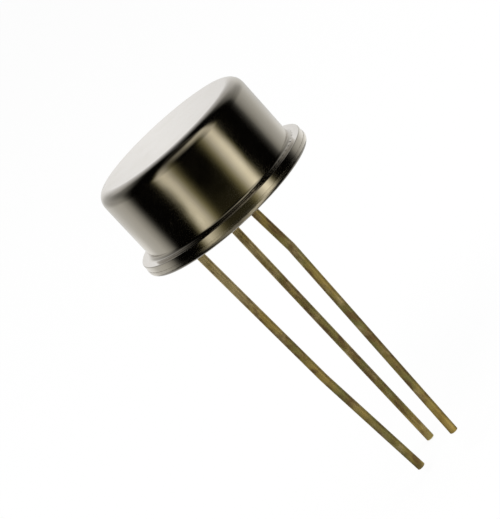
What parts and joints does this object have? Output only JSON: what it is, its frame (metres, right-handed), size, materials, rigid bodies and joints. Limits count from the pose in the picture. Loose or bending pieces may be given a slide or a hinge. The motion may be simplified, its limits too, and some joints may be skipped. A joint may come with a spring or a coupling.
{
  "type": "voltage regulator",
  "caption": "Low round metal-can voltage regulator with a weld flange, an index tab and straight wire leads for soldering into a board.",
  "frame": {"origin": "centre of the seating plane, which is the header's flat underside, on the can's axis", "axes": "+Z along the can's axis from the seating plane to the can's top; the leads point down -Z; the input lead stands on +Y, the output lead on -X, the ground lead on -Y, the +X place is empty, and the index tab points half way between +X and +Y"},
  "size_m": [0.0092, 0.0092, 0.0199],
  "materials": {
    "nickel_can": "bright nickel plate over drawn steel, faint drawing marks",
    "nickel_header": "bright nickel plate",
    "gold_lead": "thin gold plate, dull and slightly tarnished",
    "seal_glass": "dark green sealing glass, glossy",
    "braze": "satin silver braze",
    "solder": "satin soft solder",
    "silicon": "polished silicon with fine metal tracks",
    "bond_gold": "bright drawn gold wire"
  },
  "bodies": {
    "root": {"can": "nickel_can", "header": "nickel_header", "input_glass_seal": "seal_glass", "output_glass_seal": "seal_glass", "input_lead": "gold_lead", "output_lead": "gold_lead", "ground_lead": "gold_lead", "ground_braze": "braze", "die_solder": "solder", "silicon_die": "silicon", "input_bond_wire": "bond_gold", "output_bond_wire": "bond_gold", "ground_bond_wire": "bond_gold"}
  },
  "joints": []
}
